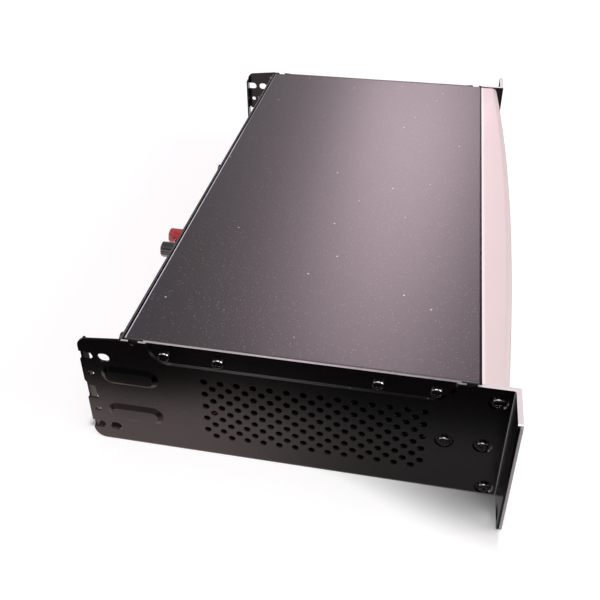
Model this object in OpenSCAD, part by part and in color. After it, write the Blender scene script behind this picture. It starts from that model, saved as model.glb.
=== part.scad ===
/* [Rack ears] */
// Width of a rack ear outside the side panel
ear_w = 25.4; // [20:0.1:28]
// Middle of the ear slots from the end of the ear
slot_set = 8.75; // [7:0.05:10]
// Height between the two slots of one ear
slot_pitch = 76.2; // [60:0.1:78]
// Height of an ear slot
slot_w = 6.8; // [5:0.1:8]
// Length of an ear slot
slot_l = 10.3; // [9:0.1:14]

/* [Chassis] */
// Width over the side panels
body_w = 431.8; // [428:0.1:440]
// Height of the chassis
body_h = 87; // [86:0.1:88.5]
// Depth from the rack face of the ears to the end of the rear ears
body_d = 258; // [255:0.5:300]
// Thickness of the side panel and base sheet
sheet_t = 1.5; // [1.2:0.1:2]
// Thickness of the angle that doubles each ear
stiffener_t = 1.5; // [1:0.1:2]
// Distance from the rack face back to the joint of front panel and cover
joint_set = 19; // [18:0.1:22]
// Length of the rear ears behind the cover
rear_ear_l = 30; // [26:0.5:34]
// Thickness of the top cover
cover_t = 1.2; // [0.8:0.1:1.5]
// Height of the cover flanges
cover_flange_h = 16; // [14:0.5:20]
// Height of the lip behind the cover
cover_lip_h = 8; // [6:0.5:8]
// Distance of the rear face behind the cover edge
rear_set = 2.5; // [2.3:0.1:4]
// Thickness of the rear panel
rear_t = 1.4; // [1:0.1:1.5]
// Radius of the sheet metal bends
bend_r = 1.2; // [0.5:0.1:2]

/* [Side panel pressings] */
// Depth of the recessed screw band
band_in = 1.2; // [0.8:0.1:1.3]
// Radius of the round ends of the screw band
band_r = 15; // [13:0.5:17]
// Centre of the front end of the band behind the joint
band_front = 27; // [25:0.5:30]
// Centre of the rear end of the band before the rear edge of the cover
band_rear_set = 29; // [26:0.5:32]
// Diameter of a vent hole
vent_d = 4.4; // [2:0.1:4.8]
// Distance between vent holes in a row
vent_pitch = 10.16; // [9.5:0.01:10.4]
// Number of vent rows
vent_rows = 10; // [1:1:10]
// Rearmost vent hole before the rear edge of the cover
vent_set = 48.6; // [45:0.1:54]
// Room kept behind the joint in front of the vent holes
vent_front = 28; // [26:0.5:40]
// Height of the top vent row
vent_top = 62; // [60:0.1:63]
// Length of a pressed rib
rib_l = 37; // [25:0.5:40]
// Width of a pressed rib
rib_w = 14.5; // [10:0.5:16]
// Height of a pressed rib
rib_out = 1.8; // [1:0.1:2.4]
// Width of the return flange on the rear ear
return_w = 9; // [8.5:0.5:12]

/* [Screws] */
// Head diameter of the chassis screws
screw_head_d = 7.2; // [6:0.1:8]
// Head height of the chassis screws
screw_head_h = 2.2; // [1.5:0.1:2.6]
// Shank diameter of the chassis screws
screw_d = 3.9; // [3:0.1:4.2]
// Length of the chassis screw shanks
screw_l = 7; // [6:0.5:8]

/* [Front panel] */
// Depth of the front panel at its ends
nose_end = 16; // [13:0.1:17]
// Depth of the front panel at its middle
nose_mid = 22.4; // [18:0.1:24]
// Radius along the top and bottom front edges
nose_r = 4.5; // [2:0.1:6]
// Step where the rounded front edges begin
nose_crease = 0.3; // [0.1:0.05:0.6]
// Wall of the front panel
nose_wall = 3.2; // [2.5:0.1:4]
// Gap between front panel and cover
joint_gap = 0.8; // [0.4:0.1:1.2]
// Distance of the level controls from the middle
knob_x = 60; // [50:0.5:70]
// Diameter of a level knob
knob_d = 20; // [16:0.5:24]
// Length of a level knob
knob_l = 5.5; // [5:0.5:7]
// Diameter of a potentiometer shaft
shaft_d = 6; // [4:0.1:6.4]
// Power switch from the right side
rocker_set = 37.9; // [34:0.1:44]
// Diameter of an indicator light pipe
pipe_d = 3; // [2:0.1:4]

/* [Rear connectors] */
// Side of the square fan
fan_size = 70; // [60:0.5:70]
// Depth of the fan
fan_l = 25; // [20:0.5:30]
// Fan from the right side
fan_set = 120.9; // [116:0.1:124]
// Power inlet from the right side
inlet_set = 40.9; // [34:0.1:44]
// Height of the power inlet
inlet_z = 30; // [24:0.5:34]
// Height of the circuit breaker
breaker_z = 64; // [60:0.5:68]
// Nearer speaker socket from the middle
speaker_x = -12; // [-18:0.5:0]
// Distance between the two speaker sockets
speaker_pitch = 36; // [30:0.5:38]
// Red binding posts from the left side
post_set = 153.9; // [150:0.1:158]
// Distance between a red and a black post
post_pitch = 19.05; // [17:0.05:22]
// Height of the upper binding posts
post_top_z = 60; // [56:0.5:64]
// Height of the lower binding posts
post_low_z = 28; // [24:0.5:36]
// Diameter of a binding post cap
cap_d = 11.8; // [11:0.1:13]
// Length from the rear face to the end of the caps
post_l = 22; // [21:0.5:25]
// Nearer input socket from the left side
input_set = 83.9; // [80:0.1:90]
// Distance between the two input sockets
input_pitch = 34; // [30:0.5:36]
// Mode switch from the left side
mode_set = 21.9; // [19:0.1:25]

/* [Inside] */
// Thickness of the circuit boards
board_t = 1.6; // [1:0.1:2]
// Height of the board standoffs
standoff_h = 9; // [6:0.5:12]
// Diameter of the mains transformer
transformer_d = 118; // [100:1:120]
// Height of the mains transformer
transformer_h = 54; // [40:1:58]
// Height of a heat sink
sink_h = 54; // [40:1:60]
// Diameter of a reservoir capacitor
can_d = 35; // [25:1:36]
// Height of a reservoir capacitor
can_h = 46; // [30:1:55]

/* [Fits] */
// Clearance between fixed pieces
fit_gap = 0.1; // [0.05:0.01:0.15]
// Radial clearance of a turning or sliding piece
run_gap = 0.06; // [0.03:0.01:0.1]

/* [Hidden] */
$fn = 48;
half_w = body_w / 2;
rack_w = body_w + 2 * ear_w;
slot_span = rack_w - 2 * slot_set;
mid_z = body_h / 2;
ear_y = -body_d / 2;
back_y = body_d / 2;
joint_y = ear_y + joint_set;
cover_back_y = back_y - rear_ear_l;
cover_d = cover_back_y - joint_y;
rear_y = cover_back_y + rear_set;
rear_in_y = rear_y - rear_t;
eps = 0.5;

// Across: what keeps its place from the left or the right side
rocker_x = half_w - rocker_set;
fan_x = half_w - fan_set;
inlet_x = half_w - inlet_set;
post_x = post_set - half_w;
input_x = input_set - half_w;
mode_x = mode_set - half_w;

// Along the side panel, behind the joint
band_rear = cover_d - band_rear_set;
vent_rear = cover_d - vent_set;
vent_cols = 1 + floor((vent_rear - vent_front) / vent_pitch);
band_screws = [band_front - 3.7, band_front + 29.1, band_rear - 29.3, band_rear + 4];
band_screw_z = body_h - 9;
// Screws in dimples: distance behind the rack face, height
dimple_screws = [[8.2, body_h - 10.3], [12.7, 41], [7.6, 6], [joint_set + 15.7, 41]];
dimple_r = 5.6;
dimple_in = 0.8;
screw_hole_r = screw_d / 2 + fit_gap;

// Rear ear: fall of its top edge, corners, openings by distance before the end and height
ear_drop = [28, 2.4];
ear_end_z = body_h - ear_drop[1];
ear_top_r = 6;
ear_low_r = 8;
ear_corner_r = 2.5;
ear_slot_z = [12, body_h - 16];
ear_slot_r = 3.2;
ear_slot_open = 8.6;
ear_slot_shut = [11.8, 19.6];
ear_hole_set = 5.4;
ear_hole_z = [26, 56.7];
ear_hole_r = 2;
ear_notch = [[-1, 35], [7.3, 35], [6.2, 46], [2.4, 46.5], [-1, 52]];
rib_set = 31;
rib_run = 1.7;
rib_z = [26, 57.6];
relief_r = 3;
relief_rear = cover_d - 6.5;
relief_front = 4.7;
tab_z = [body_h - 17, body_h - 7];

// Inner faces
band_face_x = half_w - band_in;
band_back_x = band_face_x - sheet_t;
cover_w = 2 * (band_back_x - fit_gap);
tray_w = 2 * (half_w - sheet_t - fit_gap);
tray_flange_h = 10;
tray_front_y = joint_y + 1;
flange_set = 1;
foot_set = 20;
foot_l = 12;
rear_low = 0.6;

// Front sub-panel and the boards that it carries
sub_t = 1.2;
sub_y = joint_y + 2;
sub_back_y = sub_y + sub_t;
sub_top_z = body_h - cover_t - 0.4;
sub_set = 1;
sub_vent = 48;
flange_over = 6;
pot_l = 9;
control_y = sub_back_y + pot_l;
control_w = 190;
control_z = [14, body_h - 13];
control_hole_set = 5;
pipe_x = 24;
pipe_z = [29, 38, 47, 56];
power_pipe_z = 64;
// Middle of each light pipe, across and up
pipes = concat([for (s = [-1, 1], z = pipe_z) [s * pipe_x, z]], [[0, power_pipe_z]]);
lamp = [3.2, 1.4, 2.6];
pot_w = 18;
bush_r = 3.9;
bush_l = 6;
nut_r = 6;
nut_l = 2;

// Bow of the front panel
nose_half = half_w - sheet_t - stiffener_t - 0.5;
nose_z = [0.8, body_h - 0.8];
nose_back_y = joint_y - joint_gap;
nose_lug = 14;
bow_over = 0.2;
nose_sag = nose_mid - nose_end;
bow_r = (pow(nose_half, 2) + pow(nose_sag, 2)) / (2 * nose_sag);
bow_y = joint_y - nose_mid + bow_r;
function nose_y(x) = bow_y - sqrt(pow(bow_r, 2) - pow(x, 2));
// Level knobs in their dishes
dish_r = knob_d / 2 + 2.5;
dish_in = 1.8;
knob_gap = 0.6;
knob_back_y = nose_y(knob_x) + dish_in - knob_gap;
knob_front_y = knob_back_y - knob_l;
knob_flutes = 20;
knob_skirt = 1.6;
knob_step = 0.8;
knob_cap = 2;
flute_r = 1.1;
pointer_w = 1;
pointer_turn = -150;
shaft_front_y = knob_front_y + knob_cap;
shaft_back_y = control_y - 2.5;
shaft_floor = 0.5;
shaft_hole_gap = 1;
flat_in = 1.2;
flat_clear = 1;

// Power switch
bezel_w = 25;
bezel_h = 33;
bezel_t = 2;
switch_w = 21;
switch_h = 29;
switch_l = 20;
switch_y = nose_y(rocker_x - bezel_w / 2) + 1.2;
rocker_w = 16;
rocker_r = 11.5;
rocker_tilt = 8;
rocker_axis_y = switch_y + 1.5;
rocker_pin_r = 1.4;
rocker_pin_in = 0.8;
rocker_pin_gap = 0.2;
rocker_out = 4;
rocker_back = 3.5;
rocker_dish = 1.4;
rocker_lift = 0.3;
rocker_room = 0.6;
rocker_deep = 6;
bezel_gap = 0.3;
switch_room = 1;
blade_pitch = 8;
switch_blade = [6, 16, 0.8];

// Front slots
grille_bar = 3;
grille_pitch = 7;
grille_set = 27.9;
grille_clear = [25, 21, 15.5];
// First and last edge of each group of front slots, across
grilles = [
    [grille_set - half_w, -knob_x - dish_r - grille_clear[0]],
    [knob_x + dish_r + grille_clear[1], rocker_x - bezel_w / 2 - grille_clear[2]]
];

// Fan
fan_bore_r = fan_size / 2 - 1.5;
fan_hole = fan_size / 2 - 5;
fan_screw_r = 1.9;
fan_head = [3.4, 1.8];
fan_hub_r = 15;
fan_blade_r = fan_bore_r - 1.4;
fan_blades = 7;
fan_shaft_r = 1.5;
fan_base_t = 4;
fan_spoke = [4, 3];
fan_blade_t = 1.6;
fan_blade_tilt = 45;
fan_end_gap = 0.6;
fan_rear_gap = 1.5;
guard_t = 1.2;
guard_rings = [9, 16, 23, 30];
guard_bar = 1.8;
guard_eye_r = 4;

// Power inlet and breaker
inlet_flange = [50, 27];
inlet_body = [27.6, 20.4];
inlet_room = [24.6, 17.2];
inlet_flange_t = 2.6;
inlet_ear_w = 16;
inlet_ear_h = 13;
inlet_bevel = 6;
inlet_l = 20;
inlet_room_l = 17;
inlet_screw_x = 20;
pin_l = 13;
tail_l = 7;
pins = [[-7, -2], [0, 2.6], [7, -2]];
pin_size = [2, 4];
breaker_r = 5.6;
breaker_button_r = 3.6;
breaker_l = 26;
breaker_out = 6;
breaker_bush_out = 4;
breaker_hole = 14;
breaker_room = 2;
breaker_edge = 0.6;
breaker_w = 14;
breaker_nut = [breaker_r + 3, 2.4];

// Screws through the top of the rear panel into the lip of the cover
rear_screw_end = half_w - 8;
rear_screw_x = [-rear_screw_end, -rear_screw_end / 2, 10, rear_screw_end * 0.75, rear_screw_end];
rear_screw_z = body_h - 4.5;
rear_screw_r = 1.4;
rear_screw_l = 6;
rear_screw_head = [2.6, 1.6];
lid_screw_head = [3.4, 2.2];

// Sockets
flange_w = 26;
flange_h = 31;
flange_t = 2;
flange_r = 2;
barrel_r = 11.6;
input_z = mid_z;
input_l = 26;
groove_r = [8, 9.8];
groove_l = 12;
jack_r = 3.25;
jack_l = 22;
contact_r = 1.3;
contact_ring = 5.6;
latch_w = 7;
latch_h = 2;
latch_travel = 1.5;
latch_gap = 0.2;
latch_out = 3;
latch_step = 0.4;
latch_in = 5;
latch_low = barrel_r - 0.5;
speaker_z = mid_z;
speaker_l = 22;
speaker_room_r = 10.4;
speaker_core_r = 5.4;
speaker_room_l = 16;
speaker_core_in = 2;
speaker_wall = 2;
speaker_key = [2, 12];
socket_screw = [9.5, 12];
socket_screw_r = 1.3;
socket_screw_head = [2.3, 1.4];
// Middle of each socket, across and up
sockets = [
    [input_x, input_z],
    [input_x - input_pitch, input_z],
    [speaker_x + speaker_pitch, speaker_z],
    [speaker_x, speaker_z]
];

// Binding posts
posts = [
    [post_x, post_top_z, "firebrick"],
    [post_x - post_pitch, post_top_z, "#202020"],
    [post_x, post_low_z, "firebrick"],
    [post_x - post_pitch, post_low_z, "#202020"]
];
stud_r = 3;
socket_r = 2.05;
post_base_r = 7;
post_base_t = 3;
post_bush_r = 4.6;
stud_in = 12;
insert_r = 4.2;
insert_l = 9;
cap_wall = 1.6;
cap_y = rear_y + post_base_t + 0.3;
cap_end_y = rear_y + post_l;
stud_end_y = cap_end_y - cap_wall - 0.4;
insert_y = cap_y + 0.4;
cap_flutes = 8;
cap_flute_r = 1.3;
cap_flute_gap = 0.5;
cap_stud_gap = 0.2;
cap_hole_gap = 0.3;
cap_collar = 3;
cap_edge = 1;
lock_nut = [6.4, 3];
bush_in = 3;
plug_l = 13;

// Mode switch
mode_z = mid_z;
mode_slot = [9, 5];
mode_travel = 4;
mode_body = [20, 12, 8];
mode_knob = [4, 4.4];
mode_out = 2.5;
mode_floor = 3;
mode_gap = 0.3;

// Boards and what stands on them
transformer_set = [95.9, 88];
transformer_x = half_w - transformer_set[0];
transformer_y = joint_y + transformer_set[1];
board_set_x = [15.9, 19];
board_set_y = [16, 38.1];
board_x = [board_set_x[0] - half_w, transformer_x - transformer_d / 2 - board_set_x[1]];
board_y = [joint_y + board_set_y[0], rear_in_y - board_set_y[1]];
board_z = sheet_t + standoff_h;
board_top_z = board_z + board_t;
hole_in = 8;
can_set_x = [84, 42];
can_set_y = [26, 66];
can_x = [for (s = can_set_x) board_x[1] - s];
can_y = [for (s = can_set_y) board_y[0] + s];
can_clear = 8.5;
can_edge = 1.5;
hole_x = [board_x[0] + hole_in, can_x[0] - can_d / 2 - can_clear, board_x[1] - hole_in];
board_holes = [for (x = hole_x, y = [board_y[0] + hole_in, board_y[1] - hole_in]) [x, y]];
standoff_r = 3.4;
board_screw_r = 1.5;
board_screw_in = 4;
board_screw_head = [2.8, 1.8];
core_r = 20;
core_edge = 9;
pad_t = 2;
core_z = sheet_t + pad_t;
washer_t = 2.5;
bolt_r = 4;
bolt_nut = [7, 5];
pad_set = 8;
washer_set = 12;
sink_gap = 26;
sink_base = 5;
sink_fin = 22;
sink_fin_t = 2;
sink_fins = 8;
sink_clear = 17.5;
sink_set = [6, 10];
sink_x = can_x[0] - can_d / 2 - sink_clear - sink_fin - sink_base - sink_gap / 2;
sink_y = board_y[0] + sink_set[0];
sink_l = board_y[1] - sink_y - sink_set[1];
device = [4.8, 15.6, 20];
devices = 4;
rectifier = [28, 28, 9];
rectifier_set = [6, 10.5];
rectifier_at = [can_x[0] + rectifier_set[0], can_y[1] + can_d / 2 + rectifier_set[1], 0];
relay = [18, 22, 16];
relay_edge = 4;
relay_set = [104, 78];
relay_x = [for (s = relay_set) board_x[1] - s];
relay_y = board_y[1] - relay[1] - relay_edge;
choke_r = [5, 12];
choke_h = 14;
choke_set = [46, 21];
choke_edge = 6;
choke_x = [for (s = choke_set) board_x[1] - s];
choke_y = board_y[1] - choke_r[1] - choke_edge;
input_board_w = 86;
input_board_z = [16, body_h - 15];

// A flat outline in Y and Z, made thick along X
module plate_yz(x0, x1) {
    translate([x0, 0, 0]) rotate([90, 0, 90]) linear_extrude(x1 - x0) children();
}

// A flat outline in X and Z, made thick along Y
module plate_xz(y0, y1) {
    translate([0, y1, 0]) rotate([90, 0, 0]) linear_extrude(y1 - y0) children();
}

// A round bar along X
module rod_x(r, x0, x1) {
    translate([x0, 0, 0]) rotate([0, 90, 0]) cylinder(r = r, h = x1 - x0);
}

// A hole through the rear panel, along Y
module rear_hole(r) {
    rod_y(r + fit_gap, rear_in_y - eps, rear_y + eps);
}

// A round bar along Y
module rod_y(r, y0, y1) {
    translate([0, y0, 0]) rotate([-90, 0, 0]) cylinder(r = r, h = y1 - y0);
}

// A box between two corners
module block(a, b) {
    translate(a) cube(b - a);
}

// What is cut from a corner to round it, with the corner at the origin
module corner_cut(r) {
    difference() {
        translate([-r, -r]) square(r + eps);
        translate([-r, -r]) circle(r);
    }
}

// A long slot outline along the first axis
module slot_2d(l, w) {
    square([l - w, w], center = true);
    for (s = [-1, 1]) translate([s * (l - w) / 2, 0]) circle(w / 2);
}

// A pan head screw, head above the origin and shank below, with a cross recess
module pan_screw(head_r, head_h, shank_r, shank_l) {
    recess_l = head_r * 1.1;
    recess_w = head_r * 0.26;
    recess_h = head_h * 0.6;
    dome_r = head_h * 0.6;
    rim_h = head_h - dome_r;
    difference() {
        union() {
            rotate_extrude() {
                square([head_r, rim_h]);
                square([head_r - dome_r, head_h]);
                translate([head_r - dome_r, rim_h]) intersection() {
                    circle(dome_r);
                    square(dome_r);
                }
            }
            translate([0, 0, -shank_l]) cylinder(r = shank_r, h = shank_l + rim_h / 2);
        }
        for (a = [0, 90])
            rotate(a)
                translate([-recess_l / 2, -recess_w / 2, head_h - recess_h])
                    cube([recess_l, recess_w, recess_h + eps]);
    }
}

module chassis_screw() {
    pan_screw(screw_head_d / 2, screw_head_h, screw_d / 2, screw_l);
}

// A raised or sunk form with round ends, along Y, from x0 to x1
module pressed_form(y0, y1, z, x0, x1, r0, r1) {
    for (y = [y0, y1])
        translate([x0, y, z]) rotate([0, 90, 0]) cylinder(r1 = r0, r2 = r1, h = x1 - x0);
    plate_xz(y0, y1) polygon([[x0, z - r0], [x1, z - r1], [x1, z + r1], [x0, z + r0]]);
}

module side_outline() {
    difference() {
        translate([ear_y, 0]) square([body_d, body_h]);
        polygon([
            [back_y - ear_drop[0], body_h],
            [back_y - ear_drop[0], body_h + eps],
            [back_y + eps, body_h + eps],
            [back_y + eps, ear_end_z],
            [back_y - ear_top_r, ear_end_z]
        ]);
        translate([back_y, ear_end_z]) corner_cut(ear_top_r);
        translate([back_y, 0]) mirror([0, 1]) corner_cut(ear_low_r);
    }
}

// What is cut from the rear ear, in Y and Z
module rear_ear_openings() {
    for (z = ear_slot_z) {
        translate([back_y - ear_slot_open, z - ear_slot_r]) translate([ear_slot_r, 0])
            square([ear_slot_open, 2 * ear_slot_r]);
        translate([back_y - ear_slot_open + ear_slot_r, z]) circle(ear_slot_r);
        translate([back_y - (ear_slot_shut[0] + ear_slot_shut[1]) / 2, z])
            slot_2d(ear_slot_shut[1] - ear_slot_shut[0], 2 * ear_slot_r);
    }
    for (z = ear_hole_z) translate([back_y - ear_hole_set, z]) circle(ear_hole_r);
    polygon([for (p = ear_notch) [back_y - p[0], p[1]]]);
}

// The left rack ear with its rounded outer corners, in X and Z
module ear_face(inner_x) {
    outer_x = -rack_w / 2;
    translate([outer_x + ear_corner_r, 0]) square([inner_x - outer_x - ear_corner_r, body_h]);
    translate([outer_x, ear_corner_r]) square([inner_x - outer_x, body_h - 2 * ear_corner_r]);
    for (z = [ear_corner_r, body_h - ear_corner_r])
        translate([outer_x + ear_corner_r, z]) circle(ear_corner_r);
}

// The two slots of the left rack ear, in X and Z
module rack_slots() {
    for (s = [-1, 1])
        translate([-slot_span / 2, mid_z + s * slot_pitch / 2]) slot_2d(slot_l, slot_w);
}

// The left panel: one sheet with rack ear, rear return, recessed band, ribs and vents
module side_panel() {
    x0 = -half_w - eps;
    x1 = -half_w + sheet_t + eps;
    rib_y = back_y - rib_set;
    rib_half = (rib_l - rib_w) / 2;
    rib_r = rib_w / 2;
    difference() {
        union() {
            plate_yz(-half_w, -half_w + sheet_t) side_outline();
            // rack ear, bent outwards at the front, and the round of its inner corner
            plate_xz(ear_y - sheet_t, ear_y) ear_face(-half_w + sheet_t);
            difference() {
                block(
                    [-half_w - bend_r, ear_y - sheet_t / 2, 0],
                    [-half_w + sheet_t / 2, ear_y + bend_r, body_h]
                );
                translate([-half_w - bend_r, ear_y + bend_r, -eps])
                    cylinder(r = bend_r, h = body_h + 2 * eps);
            }
            // return at the end of the rear ear
            block(
                [-half_w, back_y - sheet_t, ear_low_r],
                [-half_w + return_w, back_y, ear_end_z - ear_top_r]
            );
            // sheet behind the recessed band
            plate_yz(-band_face_x, -band_back_x) intersection() {
                union() {
                    translate([joint_y + band_front, body_h - band_r - sheet_t])
                        square([band_rear - band_front, 2 * band_r]);
                    for (y = [band_front, band_rear])
                        translate([joint_y + y, body_h]) circle(band_r + sheet_t);
                }
                translate([ear_y, 0]) square([body_d, body_h]);
            }
            for (z = rib_z)
                mirror([1, 0, 0]) pressed_form(
                    rib_y - rib_half, rib_y + rib_half, z,
                    half_w - sheet_t / 2, half_w + rib_out,
                    rib_r + rib_run * sheet_t / 2, rib_r - rib_run * rib_out
                );
        }
        // the band itself
        pressed_form(
            joint_y + band_front, joint_y + band_rear, body_h,
            x0, -band_face_x,
            band_r + eps, band_r - band_in
        );
        // hollow backs of the ribs
        for (z = rib_z)
            mirror([1, 0, 0]) pressed_form(
                rib_y - rib_half, rib_y + rib_half, z,
                -x1, half_w + rib_out - sheet_t,
                rib_r + rib_run * eps, rib_r - rib_run * rib_out
            );
        plate_yz(x0, x1) rear_ear_openings();
        // tab slit of the rear panel
        block(
            [x0, rear_in_y - fit_gap, tab_z[0] - fit_gap],
            [x1, rear_y + fit_gap, tab_z[1] + fit_gap]
        );
        for (y = [relief_front, relief_rear])
            translate([0, joint_y + y, body_h]) rod_x(relief_r, x0, x1);
        for (y = band_screws)
            translate([0, joint_y + y, band_screw_z]) rod_x(screw_hole_r, x0, -band_back_x + eps);
        for (s = dimple_screws)
            translate([0, ear_y + s[0], s[1]]) {
                rod_x(screw_hole_r, x0, x1);
                translate([-half_w, 0, 0]) rotate([0, 90, 0])
                    cylinder(r1 = dimple_r, r2 = dimple_r - dimple_in, h = dimple_in);
            }
        for (row = [0:vent_rows - 1], col = [0:vent_cols - 1 - row % 2]) {
            y = joint_y + vent_rear - (col + (row % 2) / 2) * vent_pitch;
            translate([0, y, vent_top - row * vent_pitch / 2]) rod_x(vent_d / 2, x0, x1);
        }
        plate_xz(ear_y - sheet_t - eps, ear_y + eps) rack_slots();
    }
}

module left_side_panel() { color("#1b1b1d") side_panel(); }

module right_side_panel() { color("#1b1b1d") mirror([1, 0, 0]) side_panel(); }

// The angle behind the front of the side panel and in front of the rack ear
module ear_stiffener() {
    inner_x = -half_w + sheet_t;
    face_x = inner_x + stiffener_t;
    back = ear_y - sheet_t;
    front = back - stiffener_t;
    difference() {
        union() {
            block([inner_x, front, 0], [face_x, joint_y - joint_gap, body_h]);
            plate_xz(front, back) ear_face(face_x);
        }
        plate_xz(front - eps, back + eps) rack_slots();
        for (s = dimple_screws)
            translate([0, ear_y + s[0], s[1]]) rod_x(screw_hole_r, inner_x - eps, face_x + eps);
    }
}

module left_ear_stiffener() { color("#1b1b1d") ear_stiffener(); }

module right_ear_stiffener() { color("#1b1b1d") mirror([1, 0, 0]) ear_stiffener(); }

module base_tray() {
    x = tray_w / 2;
    back = rear_in_y - fit_gap;
    hole_h = sheet_t + 2 * eps;
    color("#8d9094") difference() {
        union() {
            block([-x, tray_front_y, 0], [x, back, sheet_t]);
            block([-x, tray_front_y, 0], [-x + sheet_t, back, tray_flange_h]);
            block([x - sheet_t, tray_front_y, 0], [x, back, tray_flange_h]);
        }
        for (p = board_holes)
            translate([p[0], p[1], -eps]) cylinder(r = board_screw_r + fit_gap, h = hole_h);
        translate([transformer_x, transformer_y, -eps]) cylinder(r = bolt_r + fit_gap, h = hole_h);
    }
}

module top_cover() {
    x = cover_w / 2;
    y0 = joint_y + flange_set;
    y1 = cover_back_y - flange_set;
    round_z = body_h - bend_r;
    color("#2a292c") difference() {
        union() {
            block([-x, joint_y, body_h - cover_t], [x, cover_back_y, body_h]);
            for (m = [0, 1])
                mirror([m, 0, 0]) block([-x, y0, body_h - cover_flange_h], [-x + cover_t, y1, body_h]);
            block([-x, cover_back_y - cover_t, body_h - cover_lip_h], [x, cover_back_y, body_h]);
        }
        // round of the two long bends and of the rear bend
        for (m = [0, 1])
            mirror([m, 0, 0]) difference() {
                block([-x - eps, joint_y - eps, round_z], [-x + bend_r, cover_back_y + eps, body_h + eps]);
                translate([-x + bend_r, 0, round_z])
                    rod_y(bend_r, joint_y - 2 * eps, cover_back_y + 2 * eps);
            }
        difference() {
            block([-x - eps, cover_back_y - bend_r, round_z], [x + eps, cover_back_y + eps, body_h + eps]);
            translate([0, cover_back_y - bend_r, round_z]) rod_x(bend_r, -x - 2 * eps, x + 2 * eps);
        }
        for (y = band_screws)
            translate([0, joint_y + y, band_screw_z]) rod_x(screw_hole_r, -x - eps, x + eps);
        for (p = rear_screw_x)
            translate([p, 0, rear_screw_z])
                rod_y(rear_screw_r + fit_gap, cover_back_y - cover_t - eps, cover_back_y + eps);
    }
}

module rear_panel() {
    x = half_w - sheet_t - fit_gap;
    z0 = sheet_t + fit_gap;
    color("#1e1e20") difference() {
        union() {
            block([-x, rear_in_y, z0], [x, rear_y, body_h - rear_low]);
            // foot that rests on the tray, and a tab through each side panel
            block([foot_set - x, rear_in_y - foot_l, z0], [x - foot_set, rear_y, z0 + rear_t]);
            for (m = [0, 1])
                mirror([m, 0, 0]) block([-half_w, rear_in_y, tab_z[0]], [-x + eps, rear_y, tab_z[1]]);
        }
        for (p = rear_screw_x) translate([p, 0, rear_screw_z]) rear_hole(rear_screw_r);
        translate([fan_x, 0, mid_z]) {
            rear_hole(fan_bore_r - 1);
            fan_corners() rear_hole(fan_screw_r);
        }
        translate([inlet_x, 0, inlet_z]) {
            plate_xz(rear_in_y - eps, rear_y + eps)
                square(inlet_body + [2 * fit_gap, 2 * fit_gap], center = true);
            for (s = [-1, 1]) translate([s * inlet_screw_x, 0, 0]) rear_hole(rear_screw_r);
        }
        translate([inlet_x, 0, breaker_z]) rear_hole(breaker_r);
        for (p = sockets)
            translate([p[0], 0, p[1]]) {
                rear_hole(barrel_r);
                for (s = [-1, 1])
                    translate([s * socket_screw[0], 0, s * socket_screw[1]]) rear_hole(socket_screw_r);
            }
        for (i = [0, 1])
            translate([sockets[i][0], 0, sockets[i][1]]) latch_slot(rear_in_y - eps, rear_y + eps);
        for (p = posts) translate([p[0], 0, p[1]]) rear_hole(post_bush_r);
        translate([mode_x, 0, mode_z])
            plate_xz(rear_in_y - eps, rear_y + eps) square(mode_slot, center = true);
    }
}

// A bowed bar between x = -half and half, from its front at the bow, less an inset, back to the joint
module bowed_bar(half, inset, z0, z1, r, back) {
    turn = asin(half / bow_r) + bow_over;
    outer = bow_r - inset;
    depth = nose_mid + joint_gap;
    intersection() {
        translate([0, bow_y, 0]) rotate(270 - turn) rotate_extrude(angle = 2 * turn, $fn = 256) {
            translate([outer - depth, z0]) square([depth - r, z1 - z0]);
            if (r > 0) {
                in = r + nose_crease;
                translate([outer - depth, z0 + in]) square([depth, z1 - z0 - 2 * in]);
                for (z = [z0 + in, z1 - in]) translate([outer - r, z]) circle(r, $fn = 48);
            }
        }
        block([-half, joint_y - 2 * nose_mid, 0], [half, back, body_h]);
    }
}

module front_panel() {
    pocket = nose_half - nose_lug;
    y0 = nose_y(0) - eps;
    bezel = [bezel_w + 2 * bezel_gap, bezel_h + 2 * bezel_gap];
    switch = [switch_w + 2 * fit_gap, switch_h + 2 * fit_gap];
    color("#c9c6c4") difference() {
        bowed_bar(nose_half, 0, nose_z[0], nose_z[1], nose_r, nose_back_y);
        bowed_bar(pocket, nose_wall, nose_z[0] + nose_wall, nose_z[1] - nose_wall, 0, joint_y);
        for (s = [-1, 1])
            translate([s * knob_x, 0, mid_z]) {
                rod_y(shaft_d / 2 + shaft_hole_gap, y0, joint_y);
                rod_y(dish_r, y0, nose_y(knob_x) + dish_in);
            }
        for (p = pipes) translate([p[0], 0, p[1]]) rod_y(pipe_d / 2 + fit_gap, y0, joint_y);
        for (g = grilles, i = [-4:4]) {
            z = mid_z + i * grille_pitch;
            block([g[0], y0, z - grille_bar / 2], [g[1], joint_y, z + grille_bar / 2]);
        }
        translate([rocker_x, 0, mid_z]) {
            plate_xz(y0, switch_y) square(bezel, center = true);
            plate_xz(y0, joint_y) square(switch, center = true);
        }
        for (m = [0, 1], i = [0:2])
            mirror([m, 0, 0]) translate([0, ear_y + dimple_screws[i][0], dimple_screws[i][1]])
                rod_x(screw_hole_r, -nose_half - eps, -half_w + screw_l + 2);
    }
}

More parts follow.
